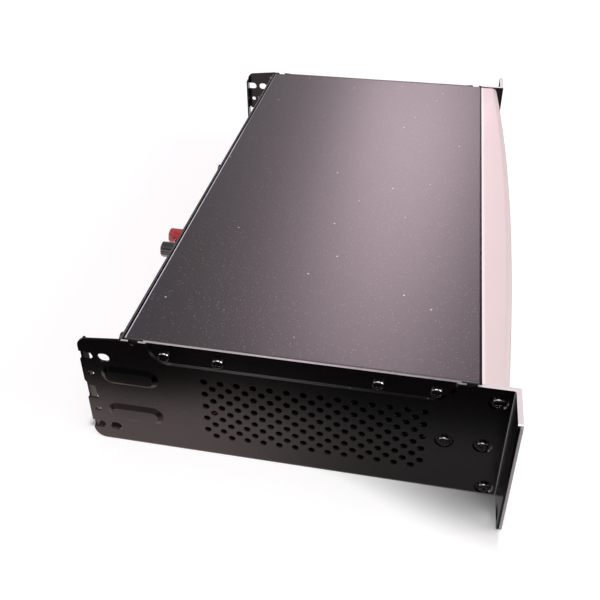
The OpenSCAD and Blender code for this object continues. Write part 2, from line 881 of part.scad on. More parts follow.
module front_subpanel() {
    x = half_w - sheet_t - fit_gap;
    z0 = sheet_t + fit_gap;
    face_x = x - sheet_t - sub_set;
    flange_end = ear_y + dimple_screws[3][0] + flange_over;
    flange_z = [tray_flange_h + flange_over, body_h - cover_flange_h - flange_over];
    color("#9a9da1") difference() {
        union() {
            block([-face_x, sub_y, z0], [face_x, sub_back_y, sub_top_z]);
            block([-face_x, sub_y, z0], [face_x, sub_y + foot_l, z0 + sub_t]);
            for (m = [0, 1])
                mirror([m, 0, 0]) block([-x, sub_y, flange_z[0]], [-x + sub_t, flange_end, flange_z[1]]);
            block([-x, sub_y, flange_z[0]], [x, sub_back_y, flange_z[1]]);
        }
        for (s = [-1, 1])
            translate([s * knob_x, 0, mid_z]) rod_y(bush_r + fit_gap, sub_y - eps, sub_back_y + eps);
        for (p = pipes)
            translate([p[0], 0, p[1]]) rod_y(pipe_d / 2 + fit_gap, sub_y - eps, sub_back_y + eps);
        plate_xz(sub_y - eps, sub_back_y + eps) {
            translate([rocker_x, mid_z])
                square([switch_w + 2 * switch_room, switch_h + 2 * switch_room], center = true);
            for (g = grilles)
                translate([g[0], mid_z - sub_vent / 2]) square([g[1] - g[0], sub_vent]);
        }
        translate([0, ear_y + dimple_screws[3][0], dimple_screws[3][1]])
            rod_x(screw_hole_r, -half_w, half_w);
    }
}

module cover_screws() {
    color("#2b2b2e") for (m = [0, 1], y = band_screws)
        mirror([m, 0, 0]) translate([-band_face_x, joint_y + y, band_screw_z])
            rotate([0, -90, 0]) chassis_screw();
}

module side_screws() {
    color("#2b2b2e") for (m = [0, 1], s = dimple_screws)
        mirror([m, 0, 0]) translate([-half_w + dimple_in, ear_y + s[0], s[1]])
            rotate([0, -90, 0]) chassis_screw();
}

// Small screws of the rear panel, the power inlet and the sockets
module rear_screws() {
    module small_screw(y, head, r) {
        shank_l = rear_screw_l + y - rear_y;
        translate([0, y, 0]) rotate([-90, 0, 0]) pan_screw(head[0], head[1], r, shank_l);
    }
    color("#3a3a3e") {
        for (p = rear_screw_x)
            translate([p, 0, rear_screw_z]) small_screw(rear_y, lid_screw_head, rear_screw_r);
        for (s = [-1, 1])
            translate([inlet_x + s * inlet_screw_x, 0, inlet_z])
                small_screw(rear_y + inlet_flange_t, rear_screw_head, rear_screw_r);
        for (p = sockets, s = [-1, 1])
            translate([p[0] + s * socket_screw[0], 0, p[1] + s * socket_screw[1]])
                small_screw(rear_y + flange_t, socket_screw_head, socket_screw_r);
    }
}

module control_board() {
    hole = [control_w / 2 - control_hole_set, mid_z - control_z[0] - control_hole_set];
    color("#2f5d3a") difference() {
        block([-control_w / 2, control_y, control_z[0]], [control_w / 2, control_y + board_t, control_z[1]]);
        for (sx = [-1, 1], sz = [-1, 1])
            translate([sx * hole[0], 0, mid_z + sz * hole[1]])
                rod_y(board_screw_r + fit_gap, control_y - eps, control_y + board_t + eps);
    }
}

module indicator_lamps() {
    color("#e8e4d0") for (p = pipes)
        translate([p[0], control_y - lamp[1] / 2, p[1]]) cube(lamp, center = true);
}

module light_pipes() {
    color("#dfe8ea") for (p = pipes) translate([p[0], 0, p[1]]) {
        rod_y(pipe_d / 2, nose_y(p[0]), control_y - lamp[1]);
        translate([0, nose_y(p[0]), 0]) intersection() {
            scale(pipe_d / 2) sphere(1);
            translate([0, -pipe_d / 2 + fit_gap, 0]) cube(pipe_d, center = true);
        }
    }
}

module level_pots() {
    color("#77797c") for (s = [-1, 1]) translate([s * knob_x, 0, mid_z]) difference() {
        union() {
            block([-pot_w / 2, sub_back_y, -pot_w / 2], [pot_w / 2, control_y, pot_w / 2]);
            rod_y(bush_r, sub_y - bush_l, sub_back_y + eps);
        }
        rod_y(shaft_d / 2 + run_gap, sub_y - bush_l - eps, shaft_back_y + shaft_floor);
    }
}

module pot_nuts() {
    color("#b9bcbf") for (s = [-1, 1]) translate([s * knob_x, 0, mid_z]) difference() {
        translate([0, sub_y - nut_l, 0]) rotate([-90, 0, 0]) cylinder(r = nut_r, h = nut_l, $fn = 6);
        rod_y(bush_r + fit_gap, sub_y - nut_l - eps, sub_y + eps);
    }
}

// The shaft turns in its bush, and its front end is flattened for the knob
module level_shaft(x) {
    color("#c4c6c8") translate([x, 0, mid_z]) difference() {
        rod_y(shaft_d / 2, shaft_front_y, shaft_back_y);
        block(
            [-shaft_d, shaft_front_y - eps, shaft_d / 2 - flat_in],
            [shaft_d, knob_back_y + flat_clear, shaft_d]
        );
    }
}

module level_shaft_1() { level_shaft(-knob_x); }

module level_shaft_2() { level_shaft(knob_x); }

// A level knob: skirt, fluted grip, a stepped end and a pointer groove
module level_knob(x) {
    r = knob_d / 2;
    grip_r = r - knob_step;
    color("#1d1d1f") translate([x, 0, mid_z]) difference() {
        union() {
            rod_y(r, knob_back_y - knob_skirt, knob_back_y);
            difference() {
                rod_y(grip_r, knob_front_y + knob_step, knob_back_y - knob_skirt / 2);
                for (i = [0:knob_flutes - 1])
                    rotate([0, i * 360 / knob_flutes, 0]) translate([grip_r + flute_r / 3, 0, 0])
                        rod_y(flute_r, knob_front_y, knob_back_y - knob_skirt);
            }
            rod_y(grip_r - 2 * knob_step, knob_front_y, knob_front_y + 2 * knob_step);
        }
        difference() {
            rod_y(shaft_d / 2 + fit_gap, shaft_front_y - eps, knob_back_y + eps);
            block(
                [-shaft_d, shaft_front_y - 2 * eps, shaft_d / 2 - flat_in + fit_gap],
                [shaft_d, knob_back_y - flat_clear, shaft_d]
            );
        }
        rotate([0, pointer_turn, 0]) block(
            [-pointer_w / 2, knob_front_y - eps, r * 0.3],
            [pointer_w / 2, knob_front_y + knob_step / 2, r]
        );
    }
}

module level_knob_1() { level_knob(-knob_x); }

module level_knob_2() { level_knob(knob_x); }

module power_switch_body() {
    room_z = sqrt(pow(rocker_r, 2) + pow(rocker_out, 2)) + rocker_room;
    room_x = (rocker_w + rocker_room) / 2;
    pin_x = switch_w / 2 - rocker_pin_in;
    back = switch_y + switch_l;
    color("#151516") translate([rocker_x, 0, mid_z]) difference() {
        union() {
            plate_xz(switch_y - bezel_t, switch_y) square([bezel_w, bezel_h], center = true);
            plate_xz(switch_y - bezel_t, back) square([switch_w, switch_h], center = true);
            for (s = [-1, 0, 1])
                translate([0, back, s * blade_pitch]) cube(switch_blade, center = true);
        }
        block([-room_x, switch_y - bezel_t - eps, -room_z], [room_x, rocker_axis_y + rocker_deep, room_z]);
        translate([0, rocker_axis_y, 0]) rod_x(rocker_pin_r + run_gap, -pin_x, pin_x);
    }
}

module power_rocker() {
    x = rocker_w / 2;
    pin_x = switch_w / 2 - rocker_pin_in - rocker_pin_gap;
    low = rocker_out - rocker_dish;
    heel = rocker_r - rocker_out;
    color("#202022") translate([rocker_x, rocker_axis_y, mid_z]) rotate([rocker_tilt, 0, 0]) {
        plate_yz(-x, x) polygon([
            [rocker_back, -heel], [-rocker_out, -rocker_r], [-low - rocker_lift, -rocker_out],
            [-low, 0],
            [-low - rocker_lift, rocker_out], [-rocker_out, rocker_r], [rocker_back, heel]
        ]);
        rod_x(rocker_pin_r, -pin_x, pin_x);
    }
}

module fan_frame() {
    y0 = rear_in_y - fan_l;
    color("#19191a") translate([fan_x, 0, mid_z]) difference() {
        union() {
            plate_xz(y0, rear_in_y) difference() {
                square(fan_size, center = true);
                circle(fan_bore_r);
            }
            rod_y(fan_hub_r - 1, y0, y0 + fan_base_t);
            for (a = [45:90:315])
                rotate([0, a, 0]) block(
                    [fan_hub_r - 2, y0, -fan_spoke[0] / 2],
                    [fan_bore_r + 1, y0 + fan_spoke[1], fan_spoke[0] / 2]
                );
        }
        rod_y(fan_shaft_r + run_gap, y0 - eps, y0 + fan_base_t + eps);
        fan_corners() rod_y(fan_screw_r + fit_gap, y0 - eps, rear_in_y + eps);
    }
}

module fan_rotor() {
    y0 = rear_in_y - fan_l;
    hub_y = [y0 + fan_base_t + fan_end_gap, rear_in_y - fan_rear_gap];
    blade_l = (hub_y[1] - hub_y[0]) * 0.8;
    color("#222224") translate([fan_x, 0, mid_z]) {
        rod_y(fan_hub_r, hub_y[0], hub_y[1]);
        rod_y(fan_shaft_r, y0 + fan_end_gap, hub_y[0] + eps);
        intersection() {
            for (i = [0:fan_blades - 1])
                rotate([0, i * 360 / fan_blades, 0]) translate([0, (hub_y[0] + hub_y[1]) / 2, 0])
                    rotate([fan_blade_tilt, 0, 0]) block(
                        [fan_hub_r - 2, -blade_l / 2, -fan_blade_t / 2],
                        [fan_blade_r + 2, blade_l / 2, fan_blade_t / 2]
                    );
            rod_y(fan_blade_r, y0, rear_in_y);
        }
    }
}

// The four corners of the fan, where its screws are
module fan_corners() {
    for (sx = [-1, 1], sz = [-1, 1]) translate([sx * fan_hole, 0, sz * fan_hole]) children();
}

// A stamped finger guard: rings, cross bars and four eyes
module fan_guard() {
    eye = fan_hole * sqrt(2);
    color("#2c2c2e") translate([fan_x, 0, mid_z]) difference() {
        plate_xz(rear_y, rear_y + guard_t) {
            for (r = guard_rings)
                difference() {
                    circle(r + guard_bar / 2);
                    circle(r - guard_bar / 2);
                }
            circle(guard_eye_r);
            for (a = [45:90:315])
                rotate(a) {
                    translate([eye / 2, 0]) square([eye, 2 * guard_bar], center = true);
                    translate([eye, 0]) circle(guard_eye_r);
                }
        }
        fan_corners() rod_y(fan_screw_r + fit_gap, rear_y - eps, rear_y + guard_t + eps);
    }
}

module fan_screws() {
    color("#a5a7a9") translate([fan_x, rear_y + guard_t, mid_z]) fan_corners()
        rotate([-90, 0, 0]) pan_screw(fan_head[0], fan_head[1], fan_screw_r, fan_l + rear_t);
}

module power_inlet() {
    c = inlet_room / 2;
    lip_y = rear_y + inlet_flange_t;
    floor_y = lip_y - inlet_room_l;
    color("#161617") translate([inlet_x, 0, inlet_z]) difference() {
        union() {
            plate_xz(rear_y, lip_y) {
                square([inlet_flange[0] - inlet_ear_w, inlet_flange[1]], center = true);
                slot_2d(inlet_flange[0], inlet_ear_h);
            }
            plate_xz(rear_y - inlet_l, rear_y + eps) square(inlet_body, center = true);
        }
        plate_xz(floor_y, lip_y + eps) polygon([
            [-c[0], -c[1]], [c[0], -c[1]], [c[0], c[1] - inlet_bevel],
            [c[0] - inlet_bevel, c[1]], [inlet_bevel - c[0], c[1]], [-c[0], c[1] - inlet_bevel]
        ]);
        for (p = pins)
            translate([p[0], 0, p[1]]) plate_xz(rear_y - inlet_l - eps, floor_y + eps)
                square(pin_size + [2 * fit_gap, 2 * fit_gap], center = true);
        for (s = [-1, 1])
            translate([s * inlet_screw_x, 0, 0])
                rod_y(rear_screw_r + fit_gap, rear_y - eps, lip_y + eps);
    }
}

module inlet_pins() {
    floor_y = rear_y + inlet_flange_t - inlet_room_l;
    color("#c8c3ae") for (p = pins)
        translate([inlet_x + p[0], 0, inlet_z + p[1]])
            plate_xz(rear_y - inlet_l - tail_l, floor_y + pin_l) square(pin_size, center = true);
}

// A push-to-reset breaker: threaded bush through the panel with a hexagon nut outside
module breaker_body() {
    end_y = rear_y + breaker_bush_out;
    color("#1c1c1d") translate([inlet_x, 0, breaker_z]) difference() {
        union() {
            plate_xz(rear_in_y - breaker_l, rear_in_y) square(breaker_w, center = true);
            rod_y(breaker_r, rear_in_y - eps, end_y);
            translate([0, rear_y, 0]) rotate([-90, 0, 0])
                cylinder(r = breaker_nut[0], h = breaker_nut[1], $fn = 6);
        }
        rod_y(breaker_button_r + run_gap, rear_in_y - breaker_hole, end_y + eps);
    }
}

module breaker_button() {
    edge_y = rear_y + breaker_out - breaker_edge;
    color("#e4e1da") translate([inlet_x, 0, breaker_z]) {
        rod_y(breaker_button_r, rear_in_y - breaker_hole + breaker_room, edge_y);
        translate([0, edge_y, 0]) rotate([-90, 0, 0])
            cylinder(r1 = breaker_button_r, r2 = breaker_button_r - breaker_edge, h = breaker_edge);
    }
}

module socket_flange() {
    difference() {
        plate_xz(rear_y, rear_y + flange_t) difference() {
            square([flange_w, flange_h], center = true);
            for (sx = [0, 1], sz = [0, 1])
                mirror([sx, 0]) mirror([0, sz]) translate([flange_w / 2, flange_h / 2])
                    corner_cut(flange_r);
        }
        for (s = [-1, 1])
            translate([s * socket_screw[0], 0, s * socket_screw[1]])
                rod_y(socket_screw_r + fit_gap, rear_y - eps, rear_y + flange_t + eps);
    }
}

// The way in which a latch tab slides down
module latch_slot(y0, y1) {
    block(
        [-latch_w / 2 - latch_gap, y0, latch_low - latch_travel - latch_gap],
        [latch_w / 2 + latch_gap, y1, latch_low + latch_h + latch_gap]
    );
}

// A combination input: ring groove, three contact holes, a jack bore and a latch slot
module input_socket(p) {
    face_y = rear_y + flange_t;
    color("#141415") translate([p[0], 0, p[1]]) difference() {
        union() {
            socket_flange();
            rod_y(barrel_r, rear_in_y - input_l, rear_y + eps);
        }
        difference() {
            rod_y(groove_r[1], face_y - groove_l, face_y + eps);
            rod_y(groove_r[0], face_y - groove_l - eps, face_y + 2 * eps);
        }
        rod_y(jack_r, face_y - jack_l, face_y + eps);
        for (a = [30, 150, 270])
            translate([contact_ring * cos(a), 0, contact_ring * sin(a)])
                rod_y(contact_r, face_y - groove_l, face_y + eps);
        latch_slot(rear_y - latch_in - latch_gap, face_y + eps);
    }
}

module input_socket_1() { input_socket(sockets[0]); }

module input_socket_2() { input_socket(sockets[1]); }

module input_latch(p) {
    w = latch_w / 2;
    face_y = rear_y + flange_t;
    color("#a9acae") translate([p[0], 0, p[1]]) {
        block([-w, rear_y - latch_in, latch_low], [w, face_y + latch_step, latch_low + latch_h]);
        block(
            [latch_step - w, rear_y, latch_low + latch_step],
            [w - latch_step, face_y + latch_out, latch_low + latch_h - latch_step]
        );
    }
}

module input_latch_1() { input_latch(sockets[0]); }

module input_latch_2() { input_latch(sockets[1]); }

module input_board() {
    x = input_x - input_pitch / 2;
    y = rear_in_y - input_l;
    half = input_board_w / 2;
    color("#2f5d3a") block([x - half, y - board_t, input_board_z[0]], [x + half, y, input_board_z[1]]);
}

module mode_switch_body() {
    back = rear_in_y - mode_body[1];
    color("#8f9295") translate([mode_x, 0, mode_z]) difference() {
        plate_xz(back, rear_in_y) square([mode_body[0], mode_body[2]], center = true);
        plate_xz(back + mode_floor, rear_in_y + eps) square(mode_slot, center = true);
    }
}

module mode_slider() {
    x = -mode_travel / 2;
    back = rear_in_y - mode_body[1] + mode_floor + mode_gap;
    color("#101011") translate([mode_x + x, 0, mode_z])
        plate_xz(back, rear_y + mode_out) square(mode_knob, center = true);
}

// A four-pole speaker socket: round well with a hollow core
module speaker_socket(p) {
    face_y = rear_y + flange_t;
    floor_y = face_y - speaker_room_l;
    color("#17181a") translate([p[0], 0, p[1]]) difference() {
        union() {
            socket_flange();
            rod_y(barrel_r, rear_in_y - speaker_l, rear_y + eps);
        }
        difference() {
            rod_y(speaker_room_r, floor_y, face_y + eps);
            rod_y(speaker_core_r, floor_y - eps, face_y - speaker_core_in);
        }
        rod_y(speaker_core_r - speaker_wall, floor_y + speaker_wall, face_y);
        for (a = [0, 180])
            rotate([0, a, 0]) block(
                [0, face_y - speaker_key[1], -speaker_key[0] / 2],
                [speaker_core_r + eps, face_y, speaker_key[0] / 2]
            );
    }
}

module speaker_socket_1() { speaker_socket(sockets[2]); }

module speaker_socket_2() { speaker_socket(sockets[3]); }

module post_bases() {
    for (p = posts)
        color(p[2]) translate([p[0], 0, p[1]]) difference() {
            union() {
                rod_y(post_base_r, rear_y, rear_y + post_base_t);
                rod_y(post_bush_r, rear_in_y - bush_in, rear_y + eps);
            }
            rod_y(stud_r + fit_gap, rear_in_y - bush_in - eps, rear_y + post_base_t + eps);
        }
}

module post_studs() {
    color("#c9b172") for (p = posts)
        translate([p[0], 0, p[1]]) difference() {
            rod_y(stud_r, rear_in_y - stud_in, stud_end_y);
            rod_y(socket_r, stud_end_y - plug_l, stud_end_y + eps);
        }
}

module post_lock_nuts() {
    y = rear_in_y - bush_in - lock_nut[1];
    color("#b9bcbf") for (p = posts)
        translate([p[0], 0, p[1]]) difference() {
            translate([0, y, 0]) rotate([-90, 0, 0]) cylinder(r = lock_nut[0], h = lock_nut[1], $fn = 6);
            rod_y(stud_r + fit_gap, y - eps, y + lock_nut[1] + eps);
        }
}

// The threaded insert inside a cap
module post_insert(p) {
    color("#c9b172") translate([p[0], 0, p[1]]) difference() {
        rod_y(insert_r, insert_y, insert_y + insert_l);
        rod_y(stud_r + run_gap, insert_y - eps, insert_y + insert_l + eps);
    }
}

module post_insert_1() { post_insert(posts[0]); }

module post_insert_2() { post_insert(posts[1]); }

module post_insert_3() { post_insert(posts[2]); }

module post_insert_4() { post_insert(posts[3]); }

// A fluted cap with a collar next to the base and a plug hole in its end
module post_cap(p) {
    r = cap_d / 2;
    color(p[2]) translate([p[0], 0, p[1]]) difference() {
        union() {
            rod_y(r, cap_y, cap_end_y - cap_edge);
            translate([0, cap_end_y - cap_edge, 0]) rotate([-90, 0, 0])
                cylinder(r1 = r, r2 = r - cap_edge, h = cap_edge);
        }
        rod_y(insert_r + run_gap, cap_y - eps, insert_y + insert_l + run_gap);
        rod_y(stud_r + cap_stud_gap, cap_y, cap_end_y - cap_wall);
        rod_y(socket_r + cap_hole_gap, cap_y, cap_end_y + eps);
        for (i = [0:cap_flutes - 1])
            rotate([0, i * 360 / cap_flutes, 0]) translate([r + cap_flute_gap, 0, 0])
                rod_y(cap_flute_r, cap_y + cap_collar, cap_end_y + eps);
    }
}

module post_cap_1() { post_cap(posts[0]); }

module post_cap_2() { post_cap(posts[1]); }

module post_cap_3() { post_cap(posts[2]); }

module post_cap_4() { post_cap(posts[3]); }

// Ring core transformer, standing on a pad and held by a dished washer and one bolt
module transformer() {
    r = transformer_d / 2;
    color("#8a5a2c") translate([transformer_x, transformer_y, core_z]) rotate_extrude() {
        translate([core_r, core_edge]) square([r - core_r, transformer_h - 2 * core_edge]);
        translate([core_r + core_edge, 0]) square([r - core_r - 2 * core_edge, transformer_h]);
        for (x = [core_r + core_edge, r - core_edge], y = [core_edge, transformer_h - core_edge])
            translate([x, y]) circle(core_edge);
    }
}

module transformer_pads() {
    color("#202020") for (z = [sheet_t, core_z + transformer_h])
        translate([transformer_x, transformer_y, z]) difference() {
            cylinder(r = transformer_d / 2 - pad_set, h = pad_t);
            translate([0, 0, -eps]) cylinder(r = bolt_r + 1, h = pad_t + 2 * eps);
        }
}

module transformer_clamp() {
    top = core_z + transformer_h + pad_t;
    color("#b9bcbf") translate([transformer_x, transformer_y, 0]) {
        translate([0, 0, sheet_t + fit_gap]) cylinder(r = bolt_r, h = top - sheet_t);
        translate([0, 0, top]) cylinder(r = transformer_d / 2 - washer_set, h = washer_t);
        translate([0, 0, top + washer_t - eps]) cylinder(r = bolt_nut[0], h = bolt_nut[1] + eps, $fn = 6);
    }
}

module amplifier_board() {
    hole_h = board_t + 2 * eps;
    color("#2f5d3a") difference() {
        block([board_x[0], board_y[0], board_z], [board_x[1], board_y[1], board_top_z]);
        for (p = board_holes)
            translate([p[0], p[1], board_z - eps]) cylinder(r = board_screw_r + fit_gap, h = hole_h);
    }
}

// Hexagon standoffs on the tray, each with its board screw
module board_standoffs() {
    color("#c0a868") for (p = board_holes)
        translate([p[0], p[1], 0]) {
            difference() {
                translate([0, 0, sheet_t]) cylinder(r = standoff_r, h = standoff_h, $fn = 6);
                translate([0, 0, board_z - board_screw_in - 1])
                    cylinder(r = board_screw_r + fit_gap, h = board_screw_in + 1 + eps);
            }
            translate([0, 0, board_top_z])
                pan_screw(board_screw_head[0], board_screw_head[1], board_screw_r, board_t + board_screw_in);
        }
}

// Two finned extrusions, back to back with the output devices between them
module sink_section() {
    step = (sink_h - sink_fin_t) / (sink_fins - 1);
    square([sink_base, sink_h]);
    for (i = [0:sink_fins - 1]) translate([0, i * step]) square([sink_base + sink_fin, sink_fin_t]);
}

module heat_sinks() {
    color("#3b3c3f") for (m = [0, 1])
        translate([sink_x, 0, board_top_z]) mirror([m, 0, 0])
            translate([sink_gap / 2, 0, 0]) plate_xz(sink_y, sink_y + sink_l) sink_section();
}

module output_transistors() {
    step = sink_l / devices;
    x = sink_gap / 2;
    color("#121213") for (m = [0, 1], i = [0:devices - 1])
        translate([sink_x, sink_y + (i + 0.5) * step, board_top_z]) mirror([m, 0, 0])
            block([x - device[0], -device[1] / 2, 0], [x, device[1] / 2, device[2]]);
}

module reservoir_capacitors() {
    r = can_d / 2;
    color("#26364f") for (x = can_x, y = can_y)
        translate([x, y, board_top_z]) {
            cylinder(r = r, h = can_h - can_edge);
            translate([0, 0, can_h - can_edge]) cylinder(r1 = r, r2 = r - can_edge, h = can_edge);
        }
}

// Rectifier, relays and output chokes
module board_parts() {
    color("#3f4145") translate([0, 0, board_top_z]) {
        translate(rectifier_at) cube(rectifier);
        for (x = relay_x) translate([x, relay_y, 0]) cube(relay);
        for (x = choke_x)
            translate([x, choke_y, 0]) difference() {
                cylinder(r = choke_r[1], h = choke_h);
                translate([0, 0, -eps]) cylinder(r = choke_r[0], h = choke_h + 2 * eps);
            }
    }
}

base_tray();
left_side_panel();
right_side_panel();
left_ear_stiffener();
right_ear_stiffener();
top_cover();
rear_panel();
front_panel();
front_subpanel();
cover_screws();
side_screws();
rear_screws();
control_board();
indicator_lamps();
light_pipes();
level_pots();
pot_nuts();
level_shaft_1();
level_shaft_2();
level_knob_1();
level_knob_2();
power_switch_body();
power_rocker();
fan_frame();
fan_rotor();
fan_guard();
fan_screws();
power_inlet();
inlet_pins();
breaker_body();
breaker_button();
input_socket_1();
input_socket_2();
input_latch_1();
input_latch_2();
input_board();
mode_switch_body();
mode_slider();
speaker_socket_1();
speaker_socket_2();
post_bases();
post_studs();
post_lock_nuts();
post_insert_1();
post_insert_2();
post_insert_3();
post_insert_4();
post_cap_1();
post_cap_2();
post_cap_3();
post_cap_4();
transformer();
transformer_pads();
transformer_clamp();
amplifier_board();
board_standoffs();
heat_sinks();
output_transistors();
reservoir_capacitors();
board_parts();
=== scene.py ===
import bpy
from mathutils import Matrix, Vector

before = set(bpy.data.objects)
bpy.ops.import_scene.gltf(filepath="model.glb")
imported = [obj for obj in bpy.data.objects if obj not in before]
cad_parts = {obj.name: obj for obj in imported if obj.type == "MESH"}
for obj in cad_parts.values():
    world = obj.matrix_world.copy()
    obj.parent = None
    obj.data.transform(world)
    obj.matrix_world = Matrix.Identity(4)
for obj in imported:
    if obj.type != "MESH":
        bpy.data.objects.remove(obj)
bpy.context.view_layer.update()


# Base tray: one sheet of 1.5 mm steel folded up at its edges, which closes the underside of the case.
# It is powder coated satin black, with a fine orange-peel grain, and a lighter brownish tone low on the coat
# that is partly dust and partly a painted reflection of the floor.
class Tone:
    """A value that changes over a surface. Sums with it add Math nodes to its finish."""

    def __init__(self, finish, socket):
        self.finish, self.socket = finish, socket

    def sum(self, work, a, b=0.0):
        return self.finish.node("ShaderNodeMath", {"operation": work}, {0: a, 1: b})

    def __add__(self, other): return self.sum("ADD", self, other)
    def __radd__(self, other): return self.sum("ADD", other, self)
    def __sub__(self, other): return self.sum("SUBTRACT", self, other)
    def __rsub__(self, other): return self.sum("SUBTRACT", other, self)
    def __mul__(self, other): return self.sum("MULTIPLY", self, other)
    def __rmul__(self, other): return self.sum("MULTIPLY", other, self)
    def __truediv__(self, other): return self.sum("DIVIDE", self, other)
    def __rtruediv__(self, other): return self.sum("DIVIDE", other, self)
    def __pow__(self, other): return self.sum("POWER", self, other)
    def __rpow__(self, other): return self.sum("POWER", other, self)
    def __gt__(self, other): return self.sum("GREATER_THAN", self, other)
    def __lt__(self, other): return self.sum("LESS_THAN", self, other)

    def size(self):
        return self.sum("ABSOLUTE", self)

    def ramp(self, start, end):
        """0 at start, 1 at end, smooth between them and level beyond."""
        return self.finish.node("ShaderNodeMapRange", {"interpolation_type": "SMOOTHSTEP"},
                                {"Value": self, "From Min": start, "From Max": end})


class Finish:
    """A surface finish, whose maps follow the place on the piece in metres."""

    def __init__(self, name, **sockets):
        self.material = bpy.data.materials.new(name)
        self.material.use_nodes = True
        self.tree = self.material.node_tree
        self.shader = self.tree.nodes["Principled BSDF"]
        self.place = self.node("ShaderNodeTexCoord", out="Object")
        self.set(**sockets)

    def feed(self, socket, value):
        if isinstance(value, Tone):
            self.tree.links.new(value.socket, socket)
        else:
            socket.default_value = value

    def node(self, kind, settings={}, inputs={}, out=0):
        made = self.tree.nodes.new(kind)
        for name, value in settings.items():
            setattr(made, name, value)
        for name, value in inputs.items():
            self.feed(made.inputs[name], value)
        return Tone(self, made.outputs[out])

    def set(self, **sockets):
        for name, value in sockets.items():
            value = (*value, 1) if isinstance(value, tuple) else value
            self.feed(self.shader.inputs[name.replace("_", " ")], value)

    def axis(self, letter):
        return self.node("ShaderNodeSeparateXYZ", {}, {0: self.place}, out=letter.upper())

    def facing(self, letter):
        normal = self.node("ShaderNodeNewGeometry", out="Normal")
        return self.node("ShaderNodeSeparateXYZ", {}, {0: normal}, out=letter.upper())

    def stretched(self, x, y, z):
        return self.node("ShaderNodeVectorMath", {"operation": "MULTIPLY"}, {0: self.place, 1: (x, y, z)})

    def noise(self, per_metre, detail=2.0, place=None):
        return self.node("ShaderNodeTexNoise", {},
                         {"Vector": place or self.place, "Scale": per_metre, "Detail": detail})

    def cells(self, per_metre, out="Distance"):
        return self.node("ShaderNodeTexVoronoi", {}, {"Vector": self.place, "Scale": per_metre}, out=out)

    def mix(self, share, a, b):
        a, b = ((*c, 1) if isinstance(c, tuple) else c for c in (a, b))
        return self.node("ShaderNodeMix", {"data_type": "RGBA"}, {0: share, 6: a, 7: b}, out=2)

    def bump(self, height, depth, strength=1.0):
        inputs = {"Height": height, "Distance": depth, "Strength": strength}
        self.set(Normal=self.node("ShaderNodeBump", {}, inputs))

    def specks(self, per_metre, share, size):
        """Dots at random places: the share of cells that hold one, and its size in cells."""
        kept = self.node("ShaderNodeSeparateXYZ", {}, {0: self.cells(per_metre, "Color")}, out="X") < share
        return kept * (self.cells(per_metre) < size)


def dress(finish, *names, edge=0.0003):
    """Gives pieces their finish and breaks their sharp edges by a small radius."""
    for name in names:
        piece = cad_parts[name]
        for i in range(len(piece.data.materials)):
            piece.data.materials[i] = finish.material
        if edge:
            weld = piece.modifiers.new("weld", "WELD")
            weld.merge_threshold = 2e-5
            flat = piece.modifiers.new("flat", "DECIMATE")
            flat.decimate_type, flat.angle_limit = "DISSOLVE", 0.01
            bevel = piece.modifiers.new("edge", "BEVEL")
            bevel.width, bevel.segments, bevel.harden_normals = edge, 2, True
            bevel.limit_method, bevel.angle_limit = "ANGLE", 0.6
            level = piece.modifiers.new("level", "WEIGHTED_NORMAL")
            level.keep_sharp = True


